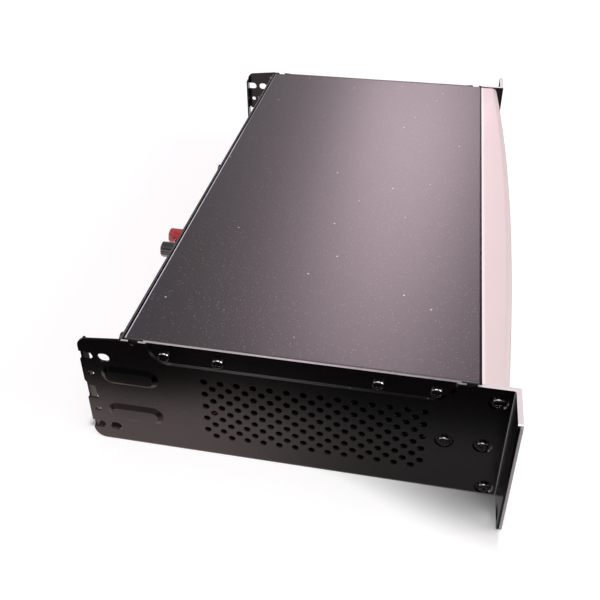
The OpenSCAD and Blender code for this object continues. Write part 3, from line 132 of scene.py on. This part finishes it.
def black_coat(name, rubbed=0.0):
    """Satin black powder coat, worn to the steel along its cut edges by the share that is rubbed; those
    edges, the rack ear bend and the foot also carry a painted highlight, pressed slopes carry a painted
    shade, and a lighter brownish tone low down is partly dust and partly a painted reflection of the floor.
    """
    black, dust_reflection_tint = (0.0018, 0.0014, 0.0016), (0.105, 0.075, 0.073)
    pale, bare_steel_and_highlight = (0.14, 0.13, 0.13), (0.96, 0.9, 0.91)
    coat = Finish(name, Specular_IOR_Level=0.45)
    x, y, z = coat.axis("x").size(), coat.axis("y"), coat.axis("z")
    low, rearward = z.ramp(0.062, 0.02), y.ramp(-0.1, 0.06)
    # Lighter brownish tone low down and towards the rear: partly dust, partly a painted reflection of the
    # bright floor.
    dust_and_reflection = low * (0.06 + 0.3 * rearward) * (0.7 + 0.5 * coat.noise(18))
    motes = coat.specks(520, 0.04, 0.2)
    film = coat.mix(motes * 0.4, coat.mix(dust_and_reflection, black, dust_reflection_tint), pale)
    metal = 0.0
    if rubbed:
        slope, up, back = coat.facing("x").size(), coat.facing("z"), coat.facing("y")
        # Upper cut edges: worn to the steel and painted as a bright highlight line, strongest at the rack
        # ear, then more to the rear, up to the break at the rear ear.
        break_start, break_end, wear_end, inside_x, near_top = 0.0893, 0.0925, 0.1, 0.2142, 0.0862
        before_ear = (y < break_start) + (y > break_end) * (y < wear_end)
        along = before_ear.sum("MAXIMUM", before_ear, x < inside_x)
        top = (z > near_top) * (up > 0.5) * along
        at_rear, at_rack_ear = y.ramp(-0.04, 0.015), y.ramp(-0.108, -0.112)
        wear_and_highlight = 0.12 + 0.28 * at_rear + 0.65 * at_rack_ear + 0.15 * coat.noise(240, 3)
        # Rack ear: its outer cut edge, worn to the steel with a painted highlight, and painted highlight
        # lines along the bend that joins it to the side and along the foot of the case.
        ear_edge, ear_front, ear_zone, foot_height = 0.2408, -0.1304, -0.12, 0.0006
        side = (x > ear_edge) * (slope > 0.5) * (y < ear_front)
        painted_fold_highlight = (y < ear_zone) * (slope > 0.45) * (back > 0.45)
        painted_foot_highlight = z < foot_height
        metal = rubbed * (top * wear_and_highlight + 0.5 * side + 0.3 * painted_fold_highlight + 0.2 * painted_foot_highlight)
        # Pale tone on these edges, the bend and the foot: partly bare steel, partly painted highlight.
        film = coat.mix(metal, film, bare_steel_and_highlight)
        # Pressed forms: the dishes of the front screws, the recessed band and the ribs have dark slopes, a
        # painted shade made by a near-black metallic finish.
        dish_front, band_front, rib_front, rib_rear = -0.1262, -0.085, 0.06, 0.12
        dish = (y > dish_front) * (y < band_front) * (z < 0.0845)
        band = (y > band_front) * (z > 0.062) * y.ramp(0.04, -0.07)
        rib = (y > rib_front) * (y < rib_rear) * (up > -0.3) * (z < 0.07)
        painted_slope_shade = (dish + (band + rib) * (slope > 0.3)) * (slope < 0.985)
        metal = 0.2 * metal + 0.9 * painted_slope_shade
    coat.set(Base_Color=film, Roughness=0.19 + 0.06 * coat.noise(90) + 0.2 * dust_and_reflection, Metallic=metal)
    coat.bump(coat.noise(1500, 3), 0.00012, 0.4)
    return coat


tray_coat = black_coat("tray_coat")
dress(tray_coat, "base_tray")


# Transformer: a ring core wound with enamelled wire and wrapped in overlapping polyester tape.
# It stands on a rubber pad, under a zinc plated dished washer held by one bolt.
tape = Finish("winding_tape", Coat_Weight=0.25)
lap = tape.node("ShaderNodeTexWave", {"wave_type": "RINGS", "rings_direction": "Z"},
                {"Vector": tape.place, "Scale": 30, "Distortion": 2.5, "Detail": 1})
# Painted shade: the tape's colour is darkened to a dark brown, for the shade inside the closed case.
tape.set(Base_Color=tape.mix(lap, (0.06, 0.036, 0.008), (0.1, 0.066, 0.018)),
         Roughness=0.32 + 0.2 * tape.noise(400))
tape.bump(lap, 0.0004)
dress(tape, "transformer", edge=0)

rubber = Finish("rubber")
rubber.set(Base_Color=rubber.mix(rubber.noise(250, 4), (0.012, 0.012, 0.012), (0.03, 0.029, 0.028)),
           Roughness=0.72 + 0.2 * rubber.noise(900))
rubber.bump(rubber.noise(2200), 0.0001)
dress(rubber, "transformer_pads")


def zinc(name, tint=(0.62, 0.63, 0.65)):
    plate = Finish(name, Metallic=1.0)
    spangle = plate.node("ShaderNodeSeparateXYZ", {}, {0: plate.cells(140, "Color")}, out="X")
    dull = tuple(0.72 * c for c in tint)
    plate.set(Base_Color=plate.mix(spangle, dull, tint),
              Roughness=0.3 + 0.14 * spangle + 0.08 * plate.noise(700))
    plate.bump(plate.noise(60, 4), 0.0002, 0.3)
    return plate


zinc_steel = zinc("zinc_steel")
dress(zinc_steel, "transformer_clamp")


# Amplifier board: green glass-fibre boards on brass standoffs, with copper tracks under the mask.
# They carry relays, chokes and four sleeved reservoir capacitors soldered in place.
mask = Finish("board_mask", Coat_Weight=0.35)
track = mask.node("ShaderNodeTexBrick", {"offset": 0.37, "squash": 0.6},
                  {"Vector": mask.place, "Scale": 95, "Mortar Size": 0.12, "Brick Width": 1.1}, out="Fac")
pads = mask.cells(210) < 0.2
# Painted shade: the green mask and its tracks are darkened to near black, for the shade inside the closed
# case.
shaded_green = mask.mix(track, (0.002, 0.013, 0.006), (0.003, 0.022, 0.01))
mask.set(Base_Color=mask.mix(pads, shaded_green, (0.62, 0.6, 0.55)),
         Roughness=0.34 + 0.12 * mask.noise(300), Metallic=pads * 0.9)
mask.bump(track + pads, 0.00005)
dress(mask, "amplifier_board", "control_board", "input_board", edge=0)

brass = Finish("brass", Metallic=1.0)
turned = brass.noise(90, 2, brass.stretched(4, 60, 4))
brass.set(Base_Color=brass.mix(turned, (0.55, 0.38, 0.13), (0.78, 0.6, 0.27)), Roughness=0.22 + 0.2 * turned)
brass.bump(turned, 0.00004)
dress(brass, "board_standoffs", edge=0.0002)

sleeve = Finish("can_sleeve", Coat_Weight=0.3)
shrink = sleeve.noise(35, 3, sleeve.stretched(1, 1, 5))
sleeve.set(Base_Color=sleeve.mix(shrink, (0.012, 0.014, 0.022), (0.03, 0.034, 0.05)),
           Roughness=0.24 + 0.16 * shrink)
sleeve.bump(shrink, 0.0002)
dress(sleeve, "reservoir_capacitors", edge=0)

moulded = Finish("moulded_black", Specular_IOR_Level=0.4)
moulded.set(Base_Color=moulded.mix(moulded.noise(160, 3), (0.011, 0.011, 0.012), (0.024, 0.023, 0.024)),
            Roughness=0.42 + 0.14 * moulded.noise(500))
moulded.bump(moulded.noise(2600), 0.00006)
dress(moulded, "board_parts", edge=0)


# Heat sinks: extruded aluminium combs, black anodised, that stand along the board.
# The output transistors are bolted flat against them through thermal pads.
anodised = Finish("anodised", Metallic=0.55)
drawn = anodised.noise(45, 3, anodised.stretched(40, 1, 40))
anodised.set(Base_Color=anodised.mix(drawn, (0.02, 0.02, 0.021), (0.05, 0.05, 0.052)),
             Roughness=0.34 + 0.16 * drawn)
anodised.bump(drawn, 0.00005)
dress(anodised, "heat_sinks", edge=0)
dress(moulded, "output_transistors", edge=0)


# Rear panel: a steel sheet punched for the connectors and coated like the rest of the case.
# It is screwed to the tray, the sides and the lid along its edges.
rear_coat = black_coat("rear_coat", rubbed=0.18)
dress(rear_coat, "rear_panel")

black_zinc = Finish("black_zinc", Metallic=0.9)
worn = black_zinc.noise(900, 3).ramp(0.5, 0.75)
# Painted highlight: the upward-facing band of each head's rim is pale, a painted glint.
painted_rim_glint = (black_zinc.facing("z") > 0.5) * (black_zinc.facing("z") < 0.8)
plating = black_zinc.mix(worn, (0.04, 0.037, 0.038), (0.09, 0.083, 0.086))
black_zinc.set(Base_Color=black_zinc.mix(painted_rim_glint, plating, (0.6, 0.58, 0.58)),
               Roughness=0.06 + 0.06 * black_zinc.noise(700))
black_zinc.bump(black_zinc.noise(1800), 0.00005)
dress(black_zinc, "rear_screws", edge=0.0002)


# Fan: a square frame and a bladed rotor moulded in black plastic, behind a wire guard.
# Four screws through the rear panel hold the frame and the guard.
dress(moulded, "fan_frame")
dress(moulded, "fan_rotor", edge=0.0002)
guard_coat = Finish("guard_coat", Metallic=0.3)
guard_coat.set(Base_Color=guard_coat.mix(guard_coat.noise(300), (0.012, 0.012, 0.013), (0.03, 0.03, 0.031)),
               Roughness=0.3 + 0.12 * guard_coat.noise(800))
guard_coat.bump(guard_coat.noise(1600), 0.00006)
dress(guard_coat, "fan_guard", edge=0)
dress(black_zinc, "fan_screws", edge=0.0002)


# Power inlet and breaker: a moulded socket with three bright blades, and above it a push button breaker.
# The inlet is screwed and the breaker held by its threaded neck and nut.
dress(moulded, "power_inlet", "breaker_body")
steel = Finish("bright_steel", Metallic=1.0)
rubbed = steel.noise(120, 3, steel.stretched(1, 14, 1))
steel.set(Base_Color=steel.mix(rubbed, (0.5, 0.5, 0.51), (0.74, 0.74, 0.75)), Roughness=0.18 + 0.18 * rubbed)
steel.bump(rubbed, 0.00003)
dress(steel, "inlet_pins", edge=0.0002)
ivory = Finish("ivory", Coat_Weight=0.2)
ivory.set(Base_Color=ivory.mix(ivory.noise(200, 4), (0.6, 0.56, 0.45), (0.72, 0.68, 0.57)),
          Roughness=0.34 + 0.12 * ivory.noise(600))
ivory.bump(ivory.noise(2200), 0.00005)
dress(ivory, "breaker_button")


# Input sockets: two round locking sockets in black shells, with a metal latch on top of each.
# Beside them sit the slide switch for the mode and the small board that joins them.
dress(moulded, "input_socket_1", "input_socket_2", "mode_switch_body")
dress(steel, "input_latch_1", "input_latch_2", edge=0.0002)
dress(ivory, "mode_slider", edge=0.0002)


# Speaker outputs: two round twist-lock sockets and four binding posts in red and black pairs.
# The caps are glossy plastic, screwed on brass inserts over studs nutted through insulating bases.
dress(moulded, "speaker_socket_1", "speaker_socket_2")


def gloss(name, dark, light):
    plastic = Finish(name, Coat_Weight=1.0, Coat_Roughness=0.05, Coat_IOR=2.2)
    flow = plastic.noise(180, 4)
    plastic.set(Base_Color=plastic.mix(flow, dark, light), Roughness=0.1 + 0.1 * flow)
    plastic.bump(plastic.noise(900), 0.00005)
    return plastic


gloss_black = gloss("gloss_black", (0.006, 0.006, 0.007), (0.016, 0.015, 0.016))
gloss_red = gloss("gloss_red", (0.56, 0.012, 0.024), (0.72, 0.022, 0.04))
dress(gloss_black, "post_bases", "post_cap_2", "post_cap_4")
dress(gloss_red, "post_cap_1", "post_cap_3")
dress(brass, "post_studs", "post_insert_1", "post_insert_2", "post_insert_3", "post_insert_4", edge=0.0001)
dress(zinc_steel, "post_lock_nuts", edge=0.0002)


# Side panels: steel sheets with ears in front and behind, punched vents, pressed ribs and a pressed band.
# They are coated after forming, and rubbed through to the steel along the upper cut edge, which also carries
# a painted highlight.
side_coat = black_coat("side_coat", rubbed=1.0)
dress(side_coat, "left_side_panel", "right_side_panel")
dress(side_coat, "left_ear_stiffener", "right_ear_stiffener")


# Chassis screws: steel pan heads with a cross recess, plated black.
# They hold the lid, the sides, the tray and the front together.
dress(black_zinc, "cover_screws", "side_screws", edge=0.0002)


# Front sub-panel: a zinc plated sheet behind the front, which carries the control board and its controls.
# Lamps shine through clear light pipes. Nuts hold the level pots, and each shaft turns in its bush.
dress(zinc_steel, "front_subpanel", "pot_nuts", "level_pots", edge=0.0002)
dress(steel, "level_shaft_1", "level_shaft_2", edge=0.0002)
dress(ivory, "indicator_lamps", edge=0)
clear = Finish("clear_pipe", Transmission_Weight=0.6, IOR=1.49)
clear.set(Base_Color=clear.mix(clear.noise(300), (0.75, 0.78, 0.78), (0.9, 0.92, 0.92)),
          Roughness=0.12 + 0.1 * clear.noise(900))
dress(clear, "light_pipes", edge=0)


# Front panel: a bowed bar moulded in pale silver plastic with a rounded nose, painted with fine metal flake.
# It is screwed from the sides in front of the sub-panel, and holds the rocker and the dishes of the knobs.
silver = Finish("silver_front", Specular_IOR_Level=0.45, Coat_Weight=0.08)
flake = silver.node("ShaderNodeSeparateXYZ", {}, {0: silver.cells(2600, "Color")}, out="X")
haze = silver.noise(22, 3)
paint = silver.mix(0.65 * haze + 0.35 * flake, (0.69, 0.602, 0.59), (0.76, 0.668, 0.655))
# Painted highlight: the upward-facing front edge of the nose is paler.
painted_nose_highlight = silver.axis("y").ramp(-0.1135, -0.111) * (silver.facing("z") > 0.3)
silver.set(Base_Color=silver.mix(painted_nose_highlight, paint, (0.92, 0.84, 0.83)),
           Roughness=0.4 + 0.12 * flake, Metallic=0.12 + 0.12 * flake)
silver.bump(silver.noise(1200), 0.00005, 0.4)
dress(silver, "front_panel", edge=0.0004)


# Level knobs and power switch: fluted knobs pressed on the flattened shafts, and a rocker in a framed body.
# All are moulded in black plastic.
dress(moulded, "level_knob_1", "level_knob_2", edge=0.0002)
dress(moulded, "power_switch_body", "power_rocker")


# Top cover: a folded steel lid with a bend along the rear and flanges screwed to the sides.
# Its black powder coat has a fine sparkle, pale dust lies on it, the rear bend carries a pale bluish painted
# highlight, and the lip at the joint with the front is painted dark, a painted shade of the gap.
cover_coat = Finish("cover_coat", Specular_IOR_Level=0.9)
rear_bend, rear_facing = 0.0974, cover_coat.facing("y")
x, y = cover_coat.axis("x"), cover_coat.axis("y")
grain = cover_coat.noise(1000, 3)
glint = cover_coat.specks(800, 0.16, 0.3)
mote = cover_coat.specks(170, 0.05, 0.12)
lint = cover_coat.specks(420, 0.06, 0.25) * y.ramp(-0.02, 0.08)
film = cover_coat.mix(cover_coat.noise(16, 4), (0.017, 0.0135, 0.016), (0.025, 0.02, 0.023))
film = cover_coat.mix(0.7 * mote + 0.16 * glint + 0.14 * lint, film, (0.62, 0.58, 0.6))
# Painted highlight: a pale bluish line along the rear bend, stronger towards the near side.
painted_bend_highlight = (y > rear_bend) * rear_facing.ramp(0.0, 0.12) * (cover_coat.facing("z") > 0.45)
painted_bend_highlight = painted_bend_highlight * (0.3 + 0.7 * x.ramp(0.1, 0.04))
# Painted shade: the lip at the joint with the front is dark, standing for the shaded gap.
painted_joint_shade = y.ramp(-0.109, -0.1094)
film = cover_coat.mix(painted_joint_shade, cover_coat.mix(painted_bend_highlight, film, (0.85, 0.88, 1.0)), (0.003, 0.002, 0.003))
cover_coat.set(Base_Color=film, Metallic=painted_bend_highlight * 0.1 + painted_joint_shade * 0.9, Roughness=0.3 + 0.14 * grain)
cover_coat.bump(grain, 0.0001, 0.8)
dress(cover_coat, "top_cover")


# Floor, light and camera: a plain white floor, a large soft light high on the far side, two more in front
# and overhead, and an even pale room. The floor's material draws a painted shade behind the near ear and
# beneath the case, and gives the sides a painted reflection in other tones than it shows the camera.
bpy.ops.mesh.primitive_plane_add(size=12, location=(0, 0, -0.0005))
floor = bpy.context.object
floor.name = "floor"
paper = Finish("floor_paper")
floor.data.materials.append(paper.material)
seen = paper.node("ShaderNodeLightPath", out="Is Camera Ray")
mirrored = paper.node("ShaderNodeLightPath", out="Is Glossy Ray")
through = paper.node("ShaderNodeLightPath", out="Is Transmission Ray")
x, y = paper.axis("x"), paper.axis("y")
side_x, shade_reach, rear_reach = -0.2159, 0.052, 0.03
ear_shade = y.ramp(0.0, -0.14) * y.ramp(-0.136, -0.129)
from_side = (side_x - x) / (shade_reach * ear_shade)
behind_ear = ear_shade * from_side.ramp(1.0, -0.05) * x.ramp(-0.2, -0.212)
across = x.ramp(-0.2095, -0.206) * x.ramp(0.21, 0.206)
by_rear_ear = x.ramp(-0.17, -0.19)
beneath = across * y.ramp(-0.13, -0.1) * (y - rear_reach * by_rear_ear).ramp(0.111, 0.101)
near = (x - 0.014 * y.ramp(0.05, 0.12)).ramp(-0.288, -0.246) * (1 - 0.72 * y.ramp(0.075, -0.06))


def lit_paper(colour, glow=0.0):
    paper_white = 0.6
    shaded = paper.node("ShaderNodeBsdfDiffuse", {}, {"Color": (*(paper_white * c for c in colour), 1)})
    if not glow:
        return shaded
    light = paper.node("ShaderNodeEmission", {}, {"Color": (*colour, 1), "Strength": glow})
    return paper.node("ShaderNodeAddShader", {}, {0: shaded, 1: light})


def shade(share, a, b):
    return paper.node("ShaderNodeMixShader", {}, {0: share, 1: a, 2: b})


plain = lit_paper((1.0, 0.98, 0.98))
far = (x.size() + y.size()).ramp(0.7, 1.8)
white = shade(far, lit_paper((1, 1, 1), 0.56), lit_paper((1, 1, 1), 1.0))
white = shade(behind_ear, white, lit_paper((0.44, 0.435, 0.435)))
white = shade(beneath, white, lit_paper((0.06, 0.055, 0.055)))
# Painted reflection: what the sides see of the floor, warm and bright close to the case, dark further out.
reflected_warm = shade(y.ramp(0.05, -0.05), lit_paper((1.0, 0.86, 0.84), 0.6), lit_paper((0.93, 0.91, 0.91), 0.6))
reflected_dark = lit_paper((0.05, 0.045, 0.045))
away = shade(mirrored + through, plain, shade(near, reflected_dark, reflected_warm))
paper.feed(paper.tree.nodes["Material Output"].inputs["Surface"], shade(seen, away, white))


class Room(Finish):
    """The room around the part, whose tone follows the direction."""

    def __init__(self, name):
        world = bpy.data.worlds.new(name)
        world.use_nodes = True
        bpy.context.scene.world = world
        self.tree = world.node_tree
        self.place = self.node("ShaderNodeTexCoord", out="Generated")


room = Room("room")
backdrop = 1 - room.axis("z").ramp(0.1, 0.3)
seen = room.node("ShaderNodeLightPath", out="Is Camera Ray")
mirrored = room.node("ShaderNodeLightPath", out="Is Glossy Ray")
through = room.node("ShaderNodeLightPath", out="Is Transmission Ray")
walls = room.node("ShaderNodeBackground", {}, {"Color": (0.98, 0.97, 1, 1), "Strength": 0.24})
white = room.node("ShaderNodeBackground", {}, {"Color": (1, 1, 1, 1), "Strength": 1})
shows_white = seen + backdrop * (mirrored + through)
room.feed(room.tree.nodes["World Output"].inputs["Surface"],
          room.node("ShaderNodeMixShader", {}, {0: shows_white, 1: walls, 2: white}))


def lamp(name, at, aim, size, watts, colour, roll=0.0):
    light = bpy.data.lights.new(name, "AREA")
    light.shape, light.size, light.size_y = "RECTANGLE", *size
    light.energy, light.color = watts, colour
    piece = bpy.data.objects.new(name, light)
    bpy.context.scene.collection.objects.link(piece)
    facing = (Vector(aim) - Vector(at)).to_track_quat("-Z", "Y").to_matrix() @ Matrix.Rotation(roll, 3, "Z")
    piece.matrix_world = Matrix.Translation(at) @ facing.to_4x4()


lamp("window_light", (0.978, 0.019, 0.838), (0, 0, 0.06), (0.29, 0.84), 4.9, (1, 0.77, 0.87), -0.175)
lamp("front_light", (-0.25, -1.3, 0.75), (0, -0.05, 0.03), (1.0, 0.8), 12, (1, 0.93, 0.94))
lamp("ceiling_light", (-0.75, -0.05, 1.35), (-0.05, 0, 0), (1.0, 1.0), 11, (1, 0.97, 0.97))

lens = bpy.data.cameras.new("camera")
camera = bpy.data.objects.new("camera", lens)
bpy.context.scene.collection.objects.link(camera)
right = Vector((0.1969, -0.98036, -0.01136))
down = Vector((-0.54996, -0.10085, -0.82908))
ahead = Vector((0.81165, 0.16949, -0.55902))
stand = Matrix.Translation((-0.541829, -0.072592, 0.392185))
camera.matrix_world = stand @ Matrix((right, -down, -ahead)).transposed().to_4x4()
lens.sensor_width, lens.sensor_fit = 36, "HORIZONTAL"
lens.lens = 46.8486
lens.shift_x, lens.shift_y = 0.01495, -0.090367
lens.clip_start = 0.01
bpy.context.scene.camera = camera
bpy.context.scene.view_settings.view_transform = "Standard"
